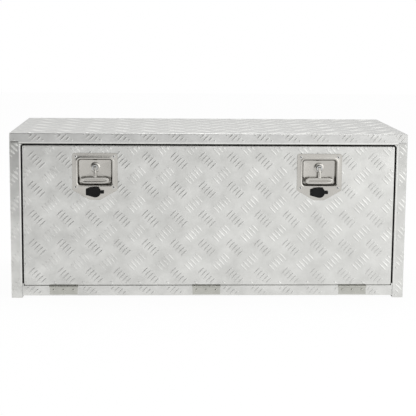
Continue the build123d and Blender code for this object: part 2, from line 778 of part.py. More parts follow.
with BuildPart() as lock_nuts:
    for x in latch_centres.values():
        with BuildSketch(facing(skin_back_y + lock_nut_t)):
            with Locations((x, lock_z)):
                RegularPolygon(lock_nut_r, 6)
                Circle(barrel_r, mode=Mode.SUBTRACT)
        extrude(amount=lock_nut_t)
write(lock_nuts, "lock_nuts")

# Stays: a lug on the door, a slotted arm, and a guide pin in a bracket behind the landing
for name, side in sides.items():
    arm_span = span(side, stay_x, stay_x + stay_t)
    arm_plane = Plane(origin=(arm_span[0], stay_pivot_y, stay_pivot_z),
                      x_dir=(0, cos(stay_slope), sin(stay_slope)), z_dir=(1, 0, 0))
    with BuildPart() as stay_arm:
        with BuildSketch(arm_plane):
            with Locations(((stay_open + stay_end) / 2, 0)):
                SlotCenterToCenter(stay_open + stay_end, stay_w)
            with Locations(((stay_shut + stay_open) / 2, 0)):
                SlotCenterToCenter(stay_open - stay_shut, stay_slot_w, mode=Mode.SUBTRACT)
            Circle(stay_pivot_r + stay_pivot_fit, mode=Mode.SUBTRACT)
        extrude(amount=stay_t)
    write(stay_arm, f"{name}_stay_arm")

    lug_span = span(side, lug_x, lug_x + bracket_t)
    with BuildPart() as lug:
        with BuildSketch(Plane.YZ.offset(lug_span[0])):
            bar_yz((skin_back_y, skin_back_y + bracket_t),
                   (stay_pivot_z - lug_half_h, stay_pivot_z + lug_half_h))
            with Locations((stay_pivot_y, stay_pivot_z)):
                Circle(lug_round)
            make_hull()
            with Locations((stay_pivot_y, stay_pivot_z)):
                Circle(stay_pivot_r, mode=Mode.SUBTRACT)
        extrude(amount=bracket_t)
        block(span(side, lug_x + bracket_t - lug_foot_w, lug_x + bracket_t),
              (skin_back_y, skin_back_y + bracket_t),
              (stay_pivot_z - lug_half_h, stay_pivot_z + lug_half_h))
    write(lug, f"{name}_stay_lug")

    web_span = span(side, landing_edge, landing_edge + bracket_t)
    foot_y = (landing_back_y, landing_back_y + bracket_t)
    foot_z = (guide_z - bracket_half_h, guide_z + bracket_half_h)
    with BuildPart() as bracket:
        with BuildSketch(Plane.YZ.offset(web_span[0])):
            bar_yz(foot_y, foot_z)
            with Locations((guide_y, guide_z)):
                Circle(bracket_round)
            make_hull()
            with Locations((guide_y, guide_z)):
                Circle(guide_r, mode=Mode.SUBTRACT)
        extrude(amount=bracket_t)
        block(span(side, landing_edge, landing_edge + bracket_foot_w), foot_y, foot_z)
        bracket_rivet_holes(side)
    write(bracket, f"{name}_stay_bracket")

with BuildPart() as stay_pivot_pins:
    arm_head = stay_x - stay_head_gap
    for side in sides.values():
        rod_x(span(side, arm_head, lug_x + bracket_t), stay_pivot_y, stay_pivot_z, stay_pivot_r)
        rod_x(span(side, arm_head - stay_head_t, arm_head), stay_pivot_y, stay_pivot_z, stay_head_r)
write(stay_pivot_pins, "stay_pivot_pins")

with BuildPart() as stay_guide_pins:
    arm_head = stay_x - stay_head_gap
    collar_start = stay_x + stay_t + stay_head_gap
    web_end = landing_edge + bracket_t
    for side in sides.values():
        rod_x(span(side, arm_head, web_end + guide_nut_t), guide_y, guide_z, guide_r)
        rod_x(span(side, arm_head - stay_head_t, arm_head), guide_y, guide_z, guide_head_r)
        rod_x(span(side, collar_start, landing_edge), guide_y, guide_z, guide_collar_r)
        rod_x(span(side, web_end, web_end + guide_nut_t), guide_y, guide_z, guide_nut_r)
write(stay_guide_pins, "stay_guide_pins")

with BuildPart() as stay_bracket_rivets:
    tail_start = landing_back_y + bracket_t
    for side in sides.values():
        for z in bracket_rivet_z:
            rod_y(side * bracket_rivet_x, z, (landing_y, tail_start), rivet_r)
            rod_y(side * bracket_rivet_x, z, (tail_start, tail_start + rivet_head_t), rivet_head_r)
write(stay_bracket_rivets, "stay_bracket_rivets")

print(f"hinge axis y {hinge_y:.2f} z {hinge_z:.2f}")
print(f"spindle z {spindle_z:.2f} pivot y {pivot_y:.2f} lock z {lock_z:.2f}")
print(f"stay pivot y {stay_pivot_y:.3f} z {stay_pivot_z:.3f}")
print(f"guide pin y {guide_y:.3f} z {guide_z:.3f}")
print(f"stay reach shut {stay_shut:.2f} open {stay_open:.2f}")
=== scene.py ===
# %% [markdown]
# Tread plate truck tool box
#
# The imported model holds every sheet, hinge, latch and stay at its real size. This lesson gives
# it its looks: the raised bars rolled into tread plate, the pressed stainless latch plates, the
# T-handles, rivets and key covers, the finish of each metal, and a plain bright studio.
# All lengths are in metres, with X to the right, Y to the back and Z up.

# %% The fixed frame
import json
import bmesh
import bpy
import numpy as np
from mathutils import Matrix, Vector


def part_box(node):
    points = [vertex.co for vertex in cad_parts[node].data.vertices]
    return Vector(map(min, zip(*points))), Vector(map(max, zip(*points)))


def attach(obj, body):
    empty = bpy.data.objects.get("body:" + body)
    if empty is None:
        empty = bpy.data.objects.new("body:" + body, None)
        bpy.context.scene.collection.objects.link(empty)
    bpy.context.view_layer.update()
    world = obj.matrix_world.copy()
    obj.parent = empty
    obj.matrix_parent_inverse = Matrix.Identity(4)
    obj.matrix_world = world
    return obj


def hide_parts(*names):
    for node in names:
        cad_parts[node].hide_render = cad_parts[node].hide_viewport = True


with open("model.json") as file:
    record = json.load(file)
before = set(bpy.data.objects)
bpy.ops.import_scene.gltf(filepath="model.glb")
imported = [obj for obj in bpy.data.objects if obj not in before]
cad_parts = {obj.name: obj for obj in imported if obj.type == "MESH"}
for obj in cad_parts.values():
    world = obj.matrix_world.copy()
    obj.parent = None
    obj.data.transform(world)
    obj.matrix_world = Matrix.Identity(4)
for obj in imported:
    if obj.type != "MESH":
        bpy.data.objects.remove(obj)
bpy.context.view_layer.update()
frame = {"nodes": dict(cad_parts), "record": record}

mm = 0.001
nodes = frame["nodes"]

# %% [markdown]
# Colours and nodes
#
# A shader works in linear light, while colours are easier to read as sRGB hex values. One
# function turns one into the other, a second clears a node tree, and a third adds a node with
# its settings and links, so that each finish below reads as a short list.


# %% Helpers for materials
def linear(hex_colour):
    """Linear RGBA of an sRGB hex colour: a straight part near black, then a power of 2.4."""
    values = np.array([int(hex_colour[i:i + 2], 16) for i in (1, 3, 5)]) / 255
    rgb = np.where(values <= 0.04045, values / 12.92, ((values + 0.055) / 1.055) ** 2.4)
    return (*rgb, 1.0)


def empty_tree(owner):
    """Turn on the nodes of a material or a world and return its node tree, cleared."""
    owner.use_nodes = True
    owner.node_tree.nodes.clear()
    return owner.node_tree


def add_node(tree, kind, inputs=None, **settings):
    """Add a shader node. An input takes a value, a socket, or a node for its first output."""
    made = tree.nodes.new("ShaderNode" + kind)
    for name, value in settings.items():
        setattr(made, name, value)
    for name, value in (inputs or {}).items():
        if isinstance(value, bpy.types.Node):
            value = value.outputs[0]
        if isinstance(value, bpy.types.NodeSocket):
            tree.links.new(value, made.inputs[name])
        else:
            made.inputs[name].default_value = value
    return made


print("middle grey in linear light", round(linear("#808080")[0], 3))

# %% [markdown]
# The metals
#
# Every metal here is bare: a metallic shader whose colour is the metal's own, with the default
# IOR. What tells them apart is how they were made. Rolled sheet keeps faint lines along the
# rolling direction and cloudy patches from handling, pressed stainless is drawn and polished,
# hinge strip is brushed, plated steel is even and a little dull. A picture could hold these
# marks, but noise in real millimetres fits every sheet, so one function makes all the metals
# from two colours, a roughness, a cloud size and a grain.

# %% One function for every bare metal
# heights in metres over which the painted top shade darkens a metal
painted_shade_from, painted_shade_to = 0.13, 0.5
along_x, upright, even = (0.03, 1.0, 1.0), (1.0, 1.0, 0.03), (1.0, 1.0, 1.0)


def metal(name, colour, dull_colour, roughness, cloud_mm, grain, painted_top_shade="#FFFFFF"):
    """A bare metal: clouds mix two colours and vary the gloss, and stretched noise is the grain.

    The grain is its size in mm, one factor for each axis and its depth in mm. Its true width
    is well under 0.1 mm, too fine to show, so it is drawn as coarse as the render can show it.
    The painted top shade is painted shade: it darkens the metal gradually between a quarter of the
    box's height and its top.
    """
    grain_mm, grain_stretch, grain_depth = grain
    made = bpy.data.materials.new(name)
    tree = empty_tree(made)
    place = add_node(tree, "TexCoord").outputs["Object"]
    clouds = add_node(tree, "TexNoise", {"Vector": place, "Scale": 1 / (cloud_mm * mm),
                                         "Detail": 3.0, "Roughness": 0.6})
    stretched = add_node(tree, "Mapping", {"Vector": place, "Scale": grain_stretch})
    lines = add_node(tree, "TexNoise", {"Vector": stretched, "Scale": 1 / (grain_mm * mm),
                                        "Detail": 2.0})
    tint = add_node(tree, "MixRGB", {"Fac": clouds, "Color1": linear(colour),
                                     "Color2": linear(dull_colour)})
    # painted shade: the colour is darkened gradually towards the top by the painted top shade colour
    height = add_node(tree, "SeparateXYZ", {"Vector": place}).outputs["Z"]
    rise = add_node(tree, "MapRange", {"Value": height, "From Min": painted_shade_from, "From Max": painted_shade_to})
    tint = add_node(tree, "MixRGB", {"Fac": rise, "Color1": tint, "Color2": linear(painted_top_shade)},
                    blend_type="MULTIPLY")
    gloss = add_node(tree, "MapRange", {"Value": clouds, "From Min": 0.3, "From Max": 0.7,
                                        "To Min": roughness * 0.85, "To Max": roughness * 1.15})
    bump = add_node(tree, "Bump", {"Height": lines, "Strength": 1.0, "Distance": grain_depth * mm})
    shader = add_node(tree, "BsdfPrincipled", {"Base Color": tint, "Roughness": gloss,
                                               "Normal": bump, "Metallic": 1.0})
    add_node(tree, "OutputMaterial", {"Surface": shader})
    print(name, "roughness", roughness)
    return made


# %% [markdown]
# Aluminium sheet
#
# The sheets are mill finish aluminium. Rolling leaves a soft satin that blurs what it mirrors,
# with faint lines one way. The pale colour is the bare metal, and the darker one is where hands
# and weather have dulled it. The bars are rubbed by use, so they are rougher and have no lines.
# The two ends have upright lines, and are painted darker towards their tops, as painted shade,
# the left end more than the right. The top sheet is a darker copy of the same sheet, its colours
# painted shade. The strip round the door is folded from cleaner, glossier sheet, and the inner
# sheets are plain and grey.

# %% Sheet finishes
rolled, rolled_upright = (1.6, along_x, 0.012), (1.6, upright, 0.012)
pale, dull = "#E8E8E5", "#C8C8C5"
tread_sheet = metal("rolled_aluminium_tread_sheet", pale, dull, 0.36, 45, rolled)
# painted shade: the top sheet's colours are darker than the tread sheet's
top_sheet_painted_shade = metal("rolled_aluminium_top_sheet_painted_shade", "#E0E0DE", "#C2C2C0", 0.36, 45, rolled)
# painted shade: each end darkens towards its top, the left end more than the right
left_sheet_painted_shade = metal("rolled_aluminium_left_sheet_painted_shade", pale, dull, 0.36, 45, rolled_upright, "#D6D6D6")
right_sheet_painted_shade = metal("rolled_aluminium_right_sheet_painted_shade", pale, dull, 0.36, 45, rolled_upright, "#E4E4E4")
tread_crown = metal("worn_aluminium_tread_bar", "#E4E4E1", "#CECECB", 0.43, 45, (1.2, even, 0.008))
frame_strip = metal("folded_aluminium_strip", pale, "#DCDCD9", 0.34, 90, (1.4, along_x, 0.008))
inner_sheet = metal("plain_aluminium_sheet", "#C9C9C7", "#BDBDBB", 0.40, 110, rolled)

# %% [markdown]
# Steel, rivets and welds
#
# The latch plates are stainless steel, which is warmer and darker than aluminium. Polishing
# lets their faces mirror more sharply than sheet. The walls of their recesses have a darker,
# duller copy of it, whose darkness is painted shade. Hinge strip is brushed along its length,
# zinc plate is even and a little dull, and the locks' plating is bright and sharp. A rivet's
# head is smooth, and the broken end of its mandrel is dark plain steel. Weld metal is rough
# and grey.

# %% Hardware finishes
stainless = metal("polished_stainless_pressing", "#C6C4BF", "#BAB7B1", 0.24, 45, (0.9, upright, 0.006))
# painted shade: the recess walls get a darker copy of the stainless
painted_shade_wall = metal("stainless_wall_painted_shade", "#96948F", "#84827D", 0.30, 30, (0.9, upright, 0.010))
hinge_strip = metal("brushed_stainless_strip", "#C3C3BC", "#B2B2AC", 0.30, 25, (0.8, along_x, 0.010))
plated_steel = metal("zinc_plated_steel", "#C6C7C6", "#B8B9B8", 0.32, 18, (0.9, even, 0.006))
lock_chrome = metal("bright_plated_lock", "#D6D6D6", "#C8C8C8", 0.12, 15, (0.9, even, 0.003))
rivet_metal = metal("domed_aluminium_rivet", "#E2E2E0", "#D6D6D4", 0.20, 12, (0.8, even, 0.004))
mandrel_steel = metal("snapped_steel_mandrel", "#6E6D6A", "#5C5B58", 0.45, 8, (0.6, even, 0.010))
dull_weld = metal("dull_weld_metal", "#908F8C", "#807F7C", 0.45, 6, (0.6, even, 0.020))

# %% [markdown]
# Rubber
#
# The door seal is extruded cellular rubber and the key covers are moulded rubber: both nearly
# black, with a soft broad sheen from a fine skin. The skin's grain is noise of about half a
# millimetre. Its IOR is that of rubber, and its dusty skin shows less than half of the gloss.


# %% Rubber finishes
def rubber(name, colour, roughness, grain_mm):
    """Black rubber: a dark base, an even broad gloss and a fine pebbled skin."""
    made = bpy.data.materials.new(name)
    tree = empty_tree(made)
    place = add_node(tree, "TexCoord").outputs["Object"]
    skin = add_node(tree, "TexNoise", {"Vector": place, "Scale": 1 / (grain_mm * mm), "Detail": 2.0})
    gloss = add_node(tree, "MapRange", {"Value": skin, "To Min": roughness * 0.9,
                                        "To Max": roughness * 1.1})
    bump = add_node(tree, "Bump", {"Height": skin, "Strength": 0.6, "Distance": 0.1 * mm})
    shader = add_node(tree, "BsdfPrincipled", {"Base Color": linear(colour), "IOR": 1.52,
                                               "Specular IOR Level": 0.2, "Roughness": gloss,
                                               "Normal": bump})
    add_node(tree, "OutputMaterial", {"Surface": shader})
    print(name, "roughness", roughness)
    return made


seal_rubber = rubber("cellular_rubber_seal", "#141414", 0.75, 0.6)
cover_rubber = rubber("moulded_rubber_cover", "#121212", 0.6, 0.5)

# %% [markdown]
# Finishes for the CAD pieces
#
# Most sheets and all the small steel parts already have their right shape, so they stay and
# only get a finish. The record names a material slot for each node, and that slot chooses it.
# A few sheets have a finish of their own.

# %% Dress the CAD pieces
slot_finish = {
    "tread_plate": tread_sheet, "mill_aluminium": inner_sheet, "stainless": stainless,
    "hinge_steel": hinge_strip, "rivet": rivet_metal, "zinc_plate": plated_steel,
    "chrome": lock_chrome, "black_rubber": seal_rubber,
}
own_finish = {
    "header_frame": frame_strip, "left_jamb": frame_strip, "right_jamb": frame_strip,
    "top_panel": top_sheet_painted_shade, "left_side_panel": left_sheet_painted_shade, "right_side_panel": right_sheet_painted_shade,
}
slot_of = {row["node"]: row["material_slot"] for row in frame["record"]["subparts"]}
for name, piece in nodes.items():
    piece.data.materials.clear()
    piece.data.materials.append(own_finish.get(name, slot_finish[slot_of[name]]))
print(len(nodes), "CAD pieces dressed")

# %% [markdown]
# Surfaces from arrays
#
# Each new piece is worked out as whole arrays of points. One function puts points and faces
# into a mesh and makes every closed shell face outwards. Another joins the points of a grid,
# which may close round on itself either way, like the skin of a ring.


# %% From arrays to a mesh
def add_object(name, data):
    """Put a mesh, lamp or camera into the scene."""
    made = bpy.data.objects.new(name, data)
    bpy.context.scene.collection.objects.link(made)
    return made


def add_piece(name, points, faces, finish, body, sharp_deg=35):
    """Make a mesh object from points in metres and lists of point numbers, riding on a body."""
    mesh = bpy.data.meshes.new(name)
    mesh.from_pydata(np.asarray(points).reshape(-1, 3).tolist(), [], faces)
    shells = bmesh.new()
    shells.from_mesh(mesh)
    bmesh.ops.recalc_face_normals(shells, faces=shells.faces)
    shells.to_mesh(mesh)
    shells.free()
    mesh.shade_smooth()
    mesh.set_sharp_from_angle(angle=np.radians(sharp_deg))
    mesh.materials.append(finish)
    piece = add_object(name, mesh)
    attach(piece, body)
    print(name, len(mesh.vertices), "points", len(mesh.polygons), "faces")
    return piece


# %% Faces of grids, tubes and copies
def grid_faces(rows, columns, wrap_rows=True):
    """Four-cornered faces of a grid whose columns wrap round and whose rows may.

    A point's number is its row times the number of columns, plus its column.
    """
    i, j = np.meshgrid(np.arange(rows if wrap_rows else rows - 1), np.arange(columns), indexing="ij")
    i, j = i.ravel(), j.ravel()
    below, beside = (i + 1) % rows, (j + 1) % columns
    corners = [i * columns + j, i * columns + beside, below * columns + beside, below * columns + j]
    return np.stack(corners, axis=1).tolist()


def tube_faces(rows, columns):
    """Faces of a tube of loops, with a cap on each end."""
    last = (rows - 1) * columns
    caps = [list(range(columns)), list(range(last, last + columns))]
    return grid_faces(rows, columns, wrap_rows=False) + caps


def copies(faces, point_count, count):
    """The same faces for many copies of a shape whose points follow one another."""
    return [[first + k for k in face] for first in range(0, count * point_count, point_count)
            for face in faces]


# %% [markdown]
# Round corners
#
# A fold in a sheet and a corner of a plate are the same thing in section: two straight runs
# joined by an arc that touches both. The arc starts the radius times the tangent of half the
# turn before the corner, and its outward direction swings from one run's to the other's.


# %% Directions and arcs
def unit(ways):
    """Each direction divided by its own length."""
    return ways / np.linalg.norm(ways, axis=1, keepdims=True)


def left_of(ways):
    """Each direction turned a quarter to the left: x and y become -y and x."""
    return np.stack([-ways[:, 1], ways[:, 0]], axis=1)


def corner_arc(corner, way_in, way_out, radius, steps):
    """Places round the arc of a corner, and the directions that point away from its centre."""
    turn = np.arccos(way_in @ way_out)
    left = np.array([-way_in[1], way_in[0]])
    away = left if left @ way_out < 0 else -left
    centre = corner - way_in * radius * np.tan(turn / 2) - away * radius
    swing = np.linspace(0, turn, steps)[:, None]
    outward = away * np.cos(swing) + way_in * np.sin(swing)
    return centre + radius * outward, outward


# %% Outlines
def round_outline(corners, radii, steps=7):
    """Points round a closed outline whose corners are rounded."""
    corners = np.asarray(corners, float)
    ways = unit(np.roll(corners, -1, axis=0) - corners)
    arcs = [corner_arc(corner, way_in, way_out, radius, steps)[0] for corner, way_in, way_out, radius
            in zip(corners, np.roll(ways, 1, axis=0), ways, np.broadcast_to(radii, len(corners)))]
    return np.concatenate(arcs)


def rectangle(low_u, high_u, low_v, high_v):
    """Corners of a rectangle, anticlockwise."""
    return [(low_u, low_v), (high_u, low_v), (high_u, high_v), (low_u, high_v)]


print("a rounded square has", len(round_outline(rectangle(0, 1, 0, 1), 0.2)), "points")

# %% [markdown]
# Bars of the tread plate
#
# Five-bar tread plate is rolled between patterned rolls that raise groups of five short bars.
# The groups sit like a chessboard: one lot leans to the right and the next to the left. Each
# bar is a slim lens, widest and highest in its middle, and falls to nothing at its tips. It
# could be painted as bump, but real bars catch light on both flanks and show in profile on
# the box's edges, so each one is a small closed shape of its own.

# %% Points of one bar
bar_length = 32 * mm
bar_width = 7.2 * mm
bar_height = 0.8 * mm
bar_root = 0.15 * mm
stations = np.array([-0.8, -0.45, 0.0, 0.45, 0.8])
across = np.array([-1.0, -0.55, 0.0, 0.55, 1.0])
grid = len(stations), len(across)


def bar_points(half_lengths):
    """Points of many bars in their own axes: along, across and up.

    A bar's half width at a station s from -1 to 1 is its full half width times the root of
    1 - s squared, so its outline is an ellipse. Its height there is the full height times
    that same root, and falls off across the bar by 1 - t squared. The rim lies below the
    sheet's face by the root's depth. The two tips close the ends.
    """
    swell = np.sqrt(1 - stations ** 2)
    flank = 1 - across ** 2
    count = len(half_lengths)
    body = np.zeros((count, *grid, 3))
    body[..., 0] = half_lengths[:, None, None] * stations[None, :, None]
    body[..., 1] = bar_width / 2 * swell[None, :, None] * across[None, None, :]
    body[..., 2] = bar_height * swell[None, :, None] * flank[None, None, :]
    body[..., 2] -= bar_root * (flank == 0)
    tips = np.zeros((count, 2, 3))
    tips[:, 0, 0], tips[:, 1, 0] = -half_lengths, half_lengths
    tips[..., 2] = -bar_root
    return np.concatenate([body.reshape(count, -1, 3), tips], axis=1)


print("a bar has", bar_points(np.array([bar_length / 2])).shape[1], "points")

# %% Faces of one bar
def bar_faces():
    """Faces of one bar: its crown in rows, its underside, and the fans that reach the tips."""
    number = np.arange(len(stations) * len(across)).reshape(grid)
    crown = np.stack([number[:-1, :-1], number[1:, :-1], number[1:, 1:], number[:-1, 1:]], axis=-1)
    under = np.stack([number[:-1, 0], number[:-1, -1], number[1:, -1], number[1:, 0]], axis=-1)
    near_tip, far_tip = number.size, number.size + 1
    near, far = (np.append(row, row[0]).tolist() for row in (number[0], number[-1]))
    near_fan = [[near_tip, here, there] for here, there in zip(near, near[1:])]
    far_fan = [[far_tip, there, here] for here, there in zip(far, far[1:])]
    return crown.reshape(-1, 4).tolist() + under.tolist() + near_fan + far_fan


print("a bar has", len(bar_faces()), "faces")

# %% [markdown]
# Laying the bars out
#
# The pattern runs on over a whole sheet and is cut off wherever the sheet ends or has a hole.
# So each bar starts as a line, the outline keeps the stretch inside it, and every hole takes
# its own stretch away. All lines are cut at once, against one straight edge after another.

# %% Lines of the pattern
group_pitch = np.array([85.75, 88.75]) * mm
bar_pitch = 11.8 * mm
bars_in_group = 5
diagonals = np.array([[1.0, 1.0], [-1.0, 1.0]]) / np.sqrt(2)


def all_lines(outline, phase):
    """Middles and directions of every bar whose group may reach the outline.

    The phase is the middle of one group that leans to the right. The groups that lean to the
    left are half a pitch away on both axes. A group's bars step sideways by the bar pitch.
    """
    first = np.floor((outline.min(axis=0) - phase) / group_pitch) - 1
    last = np.ceil((outline.max(axis=0) - phase) / group_pitch) + 1
    columns, rows = np.meshgrid(np.arange(first[0], last[0]), np.arange(first[1], last[1]))
    groups = np.stack([columns.ravel(), rows.ravel()], axis=1)
    steps = (np.arange(bars_in_group) - (bars_in_group - 1) / 2) * bar_pitch
    middles, alongs = [], []
    for lean in (0, 1):
        centres = np.asarray(phase) + group_pitch * (groups + lean / 2)
        spread = centres[:, None, :] + steps[None, :, None] * diagonals[1 - lean]
        middles.append(spread.reshape(-1, 2))
        alongs.append(np.tile(diagonals[lean], (len(middles[-1]), 1)))
    return np.concatenate(middles), np.concatenate(alongs)


# %% Where lines meet an outline
def stretch_inside(middle, along, corners):
    """Where each line enters and leaves a convex outline, as distances from its middle.

    Each edge has an outward direction. The distance to the edge, divided by how fast the
    line nears it, gives the crossing: the last entry and the first exit bound the stretch.
    """
    corners = np.asarray(corners, float)
    outward = -left_of(np.roll(corners, -1, axis=0) - corners)
    gap = (outward * corners).sum(axis=1) - middle @ outward.T
    rate = along @ outward.T
    crossing = gap / np.where(rate == 0, np.inf, rate)
    enter = np.where(rate < 0, crossing, -np.inf).max(axis=1)
    leave = np.where(rate > 0, crossing, np.inf).min(axis=1)
    return enter, leave


# %% Bars that a sheet keeps
shortest_bar = 7 * mm


def pattern_lines(outline, holes, phase):
    """Middles, directions and half lengths of the bars that a sheet keeps.

    A bar is its own length or the stretch inside the outline, whichever ends first. A hole
    that it crosses leaves the part before the hole and the part after it.
    """
    outline = np.asarray(outline, float)
    middle, along = all_lines(outline, phase)
    enter, leave = stretch_inside(middle, along, outline)
    start, end = np.maximum(enter, -bar_length / 2), np.minimum(leave, bar_length / 2)
    for hole in holes:
        enter, leave = stretch_inside(middle, along, hole)
        missed = (enter >= leave) | (leave <= start) | (enter >= end)
        before_end = np.where(missed, end, np.minimum(end, enter))
        after_start = np.where(missed, end, np.maximum(start, leave))
        start, end = np.concatenate([start, after_start]), np.concatenate([before_end, end])
        middle, along = np.tile(middle, (2, 1)), np.tile(along, (2, 1))
    kept = end - start > shortest_bar
    middle, along, start, end = middle[kept], along[kept], start[kept], end[kept]
    return middle + along * ((start + end) / 2)[:, None], along, (end - start) / 2


# %% [markdown]
# Bars that follow the folds
#
# The sheets are patterned first and folded afterwards, so the bars run round the bends. The
# pattern is laid out flat, and each point of a bar is then carried to the folded section: its
# distance along the sheet picks a place and an outward direction, its height goes outwards.

# %% Folding the pattern
bend = 3 * mm


def folded_section(corners, radius=bend, steps=7):
    """Distances, places and outward directions along a section, outward to the left of the way."""
    corners = np.asarray(corners, float)
    ways = unit(np.diff(corners, axis=0))
    lefts = left_of(ways)
    places, outwards = [corners[:1]], [lefts[:1]]
    for corner, way, next_way in zip(corners[1:-1], ways, ways[1:]):
        place, outward = corner_arc(corner, way, next_way, radius, steps)
        places.append(place)
        outwards.append(outward)
    places = np.concatenate(places + [corners[-1:]])
    outwards = np.concatenate(outwards + [lefts[-1:]])
    distances = np.cumsum(np.linalg.norm(np.diff(places, axis=0), axis=1))
    return np.append(0, distances), places, outwards


def read_off(where, stops, table, period=None):
    """Each column of a table at the given places, straight between its stops."""
    return np.stack([np.interp(where, stops, column, period=period) for column in table.T], axis=-1)


# %% The bars of a sheet
def tread(name, body, section, axes, outline, phase, holes=()):
    """All the bars of one sheet, carried from the flat pattern to its folded section.

    axes are the directions of the pattern's first axis and of the section's two axes. The
    outline, the phase and the holes are in the pattern's axes: across the sheet, then along it.
    """
    middle, way, half_lengths = pattern_lines(outline, holes, phase)
    points = bar_points(half_lengths)
    side = left_of(way)
    flat = middle[:, None] + points[..., :1] * way[:, None] + points[..., 1:2] * side[:, None]
    distance, places, outwards = section
    place, outward = (read_off(flat[..., 1], distance, table) for table in (places, outwards))
    folded = place + outward * points[..., 2:]
    first, second, third = (np.asarray(axis, float) for axis in axes)
    world = flat[..., :1] * first + folded[..., :1] * second + folded[..., 1:] * third
    faces = copies(bar_faces(), world.shape[1], len(world))
    return add_piece(name, world, faces, tread_crown, body, sharp_deg=60)


# %% [markdown]
# Where the sheets are
#
# The frame tells where each sheet lies, so the bars land on its face. Bars stop short of a cut
# edge or a weld by about 2 mm.

# %% Places read from the frame
margin, sill_gap = 2.2 * mm, 2 * mm
top_low, top_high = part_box("top_panel")
side_low, side_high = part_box("right_side_panel")
strip_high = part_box("right_jamb")[1]
door_low, door_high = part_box("door_skin")
back_low, back_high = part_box("back_panel")
sill_low, sill_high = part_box("front_sill")
leaf_boxes = [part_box(f"{name}_hinge_sill_leaf") for name in ("left", "centre", "right")]
X, Y, Z = (1, 0, 0), (0, 1, 0), (0, 0, 1)
sides = (("left", -1), ("right", 1))
front, rear = top_low.y, top_high.y
half_width = top_high.x
sill_top = door_low.z - sill_gap
print("door", list(door_low), list(door_high))

# %% [markdown]
# Bars on the cabinet
#
# The top sheet's pattern runs up the front lip, over the top and down the back lip. A side
# sheet's runs round from the front post along the wall to the back flange. The back sheet,
# the side lips and the sill are flat.

# %% Bars on the top and its lips
top_section = folded_section([(front, top_low.z), (front, top_high.z), (rear, top_high.z),
                              (rear, top_low.z)])
top_length = top_section[0][-1]
tread("top_panel_tread", "cabinet", top_section, (X, Y, Z),
      rectangle(-half_width + bend + margin, half_width - bend - margin, margin, top_length - margin),
      phase=(-10.4 * mm, 13 * mm))

lip_height = top_high.z - bend - top_low.z
for name, across_axis, outward_axis in (("left", (0, -1, 0), X), ("right", Y, (-1, 0, 0))):
    lip = folded_section([(-half_width, top_low.z), (-half_width, top_high.z)])
    tread(f"{name}_lip_tread", "cabinet", lip, (across_axis, outward_axis, Z),
          rectangle(front + bend + margin, rear - bend - margin, margin, lip_height - margin),
          phase=(20 * mm, 13 * mm))

# %% Bars on the sides
first_row = 14 * mm
for name, side in sides:
    corners = [(side * strip_high.x, front), (side * half_width, front),
               (side * half_width, rear), (side * side_low.x, rear)]
    section = folded_section(corners if side < 0 else corners[::-1])
    length = section[0][-1]
    tread(f"{name}_side_panel_tread", "cabinet", section, (Z, X, Y),
          rectangle(margin, side_high.z - margin, margin, length - margin),
          phase=(31 * mm, first_row if side < 0 else length - first_row))

# %% Bars on the back and the sill
weld_margin, foot_margin = 4 * margin, 3 * margin
back_height = back_high.z - back_low.z
tread("back_panel_tread", "cabinet", folded_section([(rear, back_high.z), (rear, back_low.z)]),
      (X, Y, Z), rectangle(back_low.x + weld_margin, back_high.x - weld_margin, margin,
                           back_height - foot_margin), phase=(10 * mm, 40 * mm))

leaf_holes = [rectangle(low.x - margin, high.x + margin, -margin, sill_top) for low, high in leaf_boxes]
tread("front_sill_tread", "cabinet", folded_section([(front, sill_low.z), (front, sill_top)]),
      (X, Y, Z), rectangle(sill_low.x + margin, sill_high.x - margin, margin,
                           sill_top - sill_low.z - margin), phase=(-13.6 * mm, 10 * mm),
      holes=leaf_holes)

# %% [markdown]
# Corners of the door frame
#
# Where the bright strip over the door meets the ones beside it, the inner corner is filled and
# dressed round. A filler is a thin plate between the corner and an arc that touches both edges.
# It lies flush with the strips, so these keep their plain straight edges.

# %% Two corner fillers
door_gap = 4.5 * mm
filler_round, filler_t = 9 * mm, 1.5 * mm
swing = np.linspace(0, np.pi / 2, 9)
for name, side in sides:
    corner = np.array([side * (door_high.x + door_gap), door_high.z + door_gap])
    arc = corner + filler_round * np.stack([side * (np.cos(swing) - 1), np.sin(swing) - 1], axis=1)
    outline = np.concatenate([[corner], arc])
    loops = np.stack([np.insert(outline, 1, front + depth, axis=1) for depth in (0, filler_t)])
    add_piece(f"{name}_corner_filler", loops, tube_faces(*loops.shape[:2]), frame_strip, "cabinet")

# %% [markdown]
# Where the latches are
#
# Each latch plate hangs on its spindle, so the spindle's axis is the zero of every outline on
# it. The outline is a rectangle with a shallow chin that carries the key lock.

# %% Places and outline of the latches
plate_t = 1.5 * mm
latches = {}
for name in ("left", "right"):
    bush_low, bush_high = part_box(f"{name}_spindle_bush")
    gasket_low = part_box(f"{name}_latch_gasket")[0]
    latches[name] = Vector(((bush_low.x + bush_high.x) / 2, gasket_low.y - plate_t,
                            (bush_low.z + bush_high.z) / 2))
    print(name, "latch", [round(value / mm, 2) for value in latches[name]])

plate_half, plate_up, shoulder = 68 * mm, 44.5 * mm, -67 * mm
chin_half, chin = 16 * mm, -97 * mm
plate_corners = [(-chin_half, chin), (chin_half, chin), (plate_half, shoulder), (plate_half, plate_up),
                 (-plate_half, plate_up), (-plate_half, shoulder)]
chin_round, plate_round = 10 * mm, 8 * mm
plate_rounds = [chin_round] * 2 + [plate_round] * 4

# %% [markdown]
# Bars on the door
#
# The door's face is one flat sheet. Its bars run on under the latch plates' rims, which sit
# on them, and stop just inside. So the hole in the pattern is the plate's outline, drawn in.

# %% Bars on the door's face
plate_inset = 3 * mm
group_height = 422 * mm
door_height = door_high.z - door_low.z
plate_holes = [np.array(plate_corners) * (1 - plate_inset / plate_half)
               + (latch.x, latch.z - door_low.z) for latch in latches.values()]
door_section = folded_section([(door_low.y, door_low.z), (door_low.y, door_high.z)])
tread("door_tread", "door", door_section, (X, Y, Z),
      rectangle(door_low.x + bend, door_high.x - bend, bend, door_height - bend),
      phase=(-6.2 * mm, group_height - door_low.z), holes=plate_holes)

